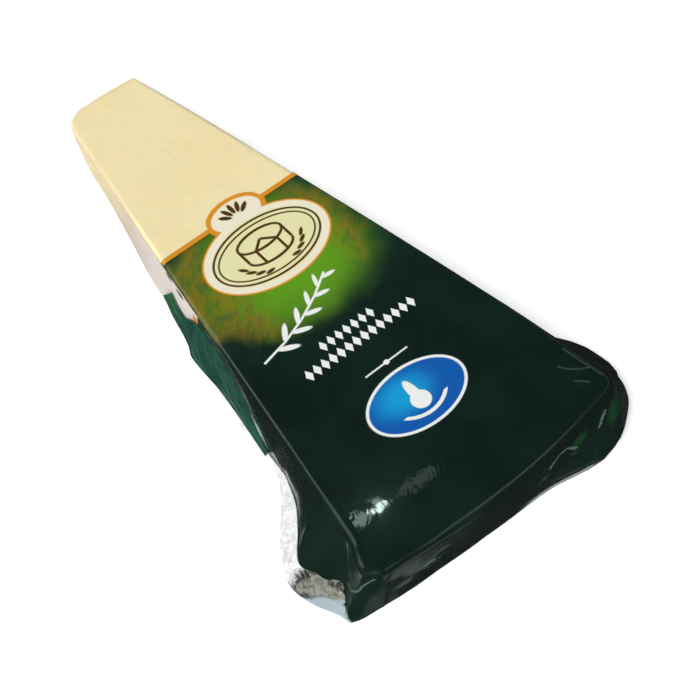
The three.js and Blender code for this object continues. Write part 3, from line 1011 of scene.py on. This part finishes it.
def flapMaterial():
    ink = inkFrom(flap["colours"])
    material = newMaterial("tealGreenLap")
    place = planPlace(material)
    x, y, z = splitUp(place)
    haze = noiseTexture(place, 0.15, 4)
    colour = paint(ink["teal"], ink["lightTeal"], fade(haze, 0.35, 0.65))
    scuffs = noiseTexture(place, 0.2, 3, 0.55, 0.3, (1, 6, 1), -22)
    colour = paint(colour, ink["scuff"], fade(scuffs, 0.6, 0.72), 0.5)
    colour = paint(colour, ink["leafGreen"], fade(y, 106, 113), 0.7)
    # thin paler lines along the lap's creases
    paleCreaseLines = strokes(y, z, flap["paleCreaseLines"], 0.1, 0.7)
    colour = paint(colour, ink["paleCrease"], paleCreaseLines, 0.4)
    return finishMaterial(material, {
        "Base Color": colour, "Roughness": 0.22, "Normal": bump(scuffs, 0.1, 0.0006)})


def seamMaterial():
    # milky strip, crumpled glassy film at its near end with painted shade, light and glints, and a flat
    # pale blue corner on the table
    ink = inkFrom(strip["colours"])
    material = newMaterial("milkySeamFilm")
    place = planPlace(material)
    x, y, z = splitUp(place)
    cloudy = noiseTexture(place, 0.35, 4, 0.6)
    colour = paint(ink["milk"], ink["cloud"], fade(cloudy, 0.4, 0.6))
    crumple = noiseTexture(place, 0.24, 2, 0.5, 2.0)
    ragged = plus(y, times(crumple, 5))
    near = fade(ragged, 24.5, 21)
    # painted shade and light: dark and pale lobes across the crumpled folds, with painted glints as white
    # specks
    shade = paint(ink["foldDark"], ink["foldGrey"], fade(crumple, 0.36, 0.66))
    crumpleGlints = fade(noiseTexture(place, 0.75, 2, 0.5, 0.6), 0.66, 0.72)
    shade = paint(shade, ink["glintWhite"], crumpleGlints)
    colour = paint(colour, shade, near)
    slope = plus(z, times(y, 0.42))
    pale = times(fade(slope, 7.2, 6.6), fade(y, 22, 16))
    colour = paint(colour, ink["paleBlue"], pale)
    alpha = minus(0.94, times(near, 0.16))
    height = times(crumple, minus(1.0, pale))
    return finishMaterial(material, {
        "Base Color": colour, "Roughness": 0.12, "Alpha": maths("MAXIMUM", alpha, pale),
        "Normal": bump(height, 0.6, 0.0012), "Coat Weight": 0.6, "Coat Roughness": 0.05})


def bandRelief(distance, across, sizes):
    # ridges that fade out at both long edges, higher where the band starts crumpled
    where = np.column_stack([distance, across * sizes["reliefWidth"], 0 * distance])
    start, end = sizes["crumpledUntil"]
    rise = sizes["ridgeRise"] + sizes["crumpledRise"] * smoothStep(-distance, -end, -start)
    ridges = ridgesAt(where, sizes["ridgeSize"], sizes["ridgeSeed"]) - sizes["ridgeMiddle"]
    return rise * ridges * np.sin(math.pi * across)


def leaningFilm(name, sizes):
    # a band of film that leans on the left side, from its upper border to its outer edge
    deselectAll()
    bpy.ops.mesh.primitive_grid_add(x_subdivisions=sizes["columns"], y_subdivisions=sizes["rows"], size=2)
    obj = bpy.context.object
    obj.name = obj.data.name = name
    raw = readPoints(obj)
    t, across = (raw[:, 0] + 1) / 2, (1 - raw[:, 1]) / 2
    start, end = sizes["edgeReach"][0][0], sizes["edgeReach"][-1][0]
    station = start + (end - start) * t
    slant = sizes["startSlant"] * (1 - t) ** 6 + sizes["endSlant"] * t ** 6
    distance = station + across * slant
    travelled = perimeter - distance
    point, normal = onOutline(travelled)
    topZ = along(sizes["top"], station)
    edgeZ = along(sizes["edgeHeight"], station)
    topReach = earReach(travelled, topZ)
    edgeReach = along(sizes["edgeReach"], station)
    reach = topReach + (edgeReach - topReach) * across
    z = topZ + (edgeZ - topZ) * across
    lean = np.stack([edgeReach - topReach, edgeZ - topZ], axis=1)
    lean /= np.linalg.norm(lean, axis=1)[:, None]
    outward = np.stack([-lean[:, 1], lean[:, 0]], axis=1)
    height = sizes["lift"] + bandRelief(distance, across, sizes)
    reach = reach + outward[:, 0] * height
    z = z + outward[:, 1] * height
    writePoints(obj, tucked(np.column_stack([point + normal * reach[:, None], z])))
    toFrame(obj)
    makeActive(obj)
    bpy.ops.object.mode_set(mode="EDIT")
    turnFacesOut()
    applyModifier(obj, "SOLIDIFY", thickness=sizes["thickness"] * mm, offset=0)
    return obj


def makeFlap():
    obj = leaningFilm("sideLap", flap)
    finishPiece(obj, ["side_flap"], flapMaterial())
    print("lap made")


def makeStrip():
    obj = leaningFilm("seamStrip", strip)
    finishPiece(obj, ["seam_strip"], seamMaterial())
    print("strip made")


makeCheese()
makeFilm()
makeFlap()
makeStrip()

# Floor, light and camera

stage = {
    "floorSize": 12.0,
    "floorDrop": 0.0002,                  # keeps it clear of the pack's underside
    "floorColour": (0.93, 0.93, 0.93, 1),
    "floorGlow": 0.45,
    "sunStrength": 3.25,
    "sunSpread": 34.0,
    "sunFrom": (-0.58, -0.18, 0.79),
    "skyColour": (0.93, 1, 0.97, 1),
    "bandHeights": (0.28, 0.36, 0.48, 0.56),
    "bandStrength": 0.29,
    "dimStrength": 0.02,
    "patches": [                          # direction, half width in degrees, strength
        ((0.37, -0.60, 0.70), 15, 0.7),
        ((-0.50, 0.56, 0.66), 14, 1.1),
        ((-0.40, -0.42, 0.81), 20, 0.5),
        ((0.14, -0.51, -0.85), 13, 0.26),
    ],
    "windowDistance": 150.0,
    "windowTurn": 37.0,
    "windowColour": (0.80, 1.0, 0.95),
    "windows": [                          # mirrored in the top face: name, place, size, brightness
        ("nearWindow", (-35.5, 13.3), (10.5, 3.4), 4.2),
        ("nearPane", (-31.2, 12.6), (2.4, 2.2), 24.0),
        ("farWindow", (-18.5, 11.6), (13, 3.4), 0.8),
    ],
    "lens": 85.0,
    "cameraPlace": (-176.92, -140.04, 419.61),
    "cameraTarget": (-3.58, 55.96, 24.0),
}


def makeFloor():
    deselectAll()
    bpy.ops.mesh.primitive_plane_add(size=stage["floorSize"], location=(0, 0, -stage["floorDrop"]))
    floor = bpy.context.object
    floor.name = "floor"
    material = newMaterial("paleFloor")
    floor.data.materials.append(finishMaterial(material, {
        "Base Color": stage["floorColour"], "Roughness": 0.9, "Specular IOR Level": 0.0,
        "Emission Color": (1, 1, 1, 1), "Emission Strength": stage["floorGlow"]}))
    floor.visible_glossy = False


def glowFrom(direction, towards, spread, strength):
    # a soft patch of the surroundings, spread is its half width in degrees
    aim = Vector(towards).normalized()
    nearness = addNode("ShaderNodeVectorMath", {0: direction, 1: aim}, operation="DOT_PRODUCT")
    inner, outer = math.cos(math.radians(spread * 0.5)), math.cos(math.radians(spread))
    return times(fade(nearness.outputs["Value"], outer, inner), strength)


def makeSurroundings():
    world = bpy.data.worlds.new("studio")
    bpy.context.scene.world = world
    world.use_nodes = True
    tree = world.node_tree
    direction = addNode("ShaderNodeTexCoord", tree=tree).outputs["Generated"]
    aside, behind, up = splitUp(direction)
    lowest, low, high, highest = stage["bandHeights"]
    band = times(fade(up, lowest, low), fade(up, highest, high))
    uneven = maths("MULTIPLY_ADD", fade(behind, -0.85, -0.3), 0.7, 0.3)
    strength = plus(times(band, uneven, stage["bandStrength"]), stage["dimStrength"])
    for patch in stage["patches"]:
        strength = plus(strength, glowFrom(direction, *patch))
    setInputs(tree.nodes["Background"], {"Color": stage["skyColour"], "Strength": strength})


def makeSun():
    deselectAll()
    bpy.ops.object.light_add(type="SUN", location=(0, 0, 1))
    sun = bpy.context.object
    sun.name = "softKey"
    sun.data.energy = stage["sunStrength"]
    sun.data.angle = math.radians(stage["sunSpread"])
    sun.visible_glossy = False
    sun.rotation_euler = Vector(stage["sunFrom"]).to_track_quat("Z", "Y").to_euler()


def makeWindow(name, spot, size, brightness):
    # a small lamp that the camera sees mirrored in the top face at a spot
    camera = Vector(stage["cameraPlace"])
    spot = Vector((*spot, pack["height"]))
    view = camera - spot
    mirrored = Vector((-view.x, -view.y, view.z)).normalized()
    far = stage["windowDistance"]
    scale = (far + view.length) / view.length
    place = (spot + mirrored * far + Vector(planOrigin)) * mm
    deselectAll()
    bpy.ops.object.light_add(type="AREA", location=place)
    lamp = bpy.context.object
    lamp.name = name
    lamp.data.shape = "RECTANGLE"
    lamp.data.size, lamp.data.size_y = size[0] * scale * mm, size[1] * scale * mm
    lamp.data.color = stage["windowColour"]
    lamp.data.energy = brightness * math.pi * lamp.data.size * lamp.data.size_y
    lamp.rotation_euler = mirrored.to_track_quat("Z", "Y").to_euler()
    lamp.rotation_euler.rotate_axis("Z", math.radians(stage["windowTurn"]))
    lamp.visible_camera = False


def makeCamera():
    camera = bpy.data.objects.new("camera", bpy.data.cameras.new("camera"))
    bpy.context.collection.objects.link(camera)
    place = Vector(np.array(stage["cameraPlace"]) + planOrigin) * mm
    target = Vector(np.array(stage["cameraTarget"]) + planOrigin) * mm
    camera.location = place
    camera.rotation_euler = (target - place).to_track_quat("-Z", "Y").to_euler()
    camera.data.lens = stage["lens"]
    camera.data.sensor_width = 36
    bpy.context.scene.camera = camera
    bpy.context.scene.view_settings.view_transform = "Standard"


makeFloor()
makeSurroundings()
makeSun()
for window in stage["windows"]:
    makeWindow(*window)
makeCamera()
print("stage made")
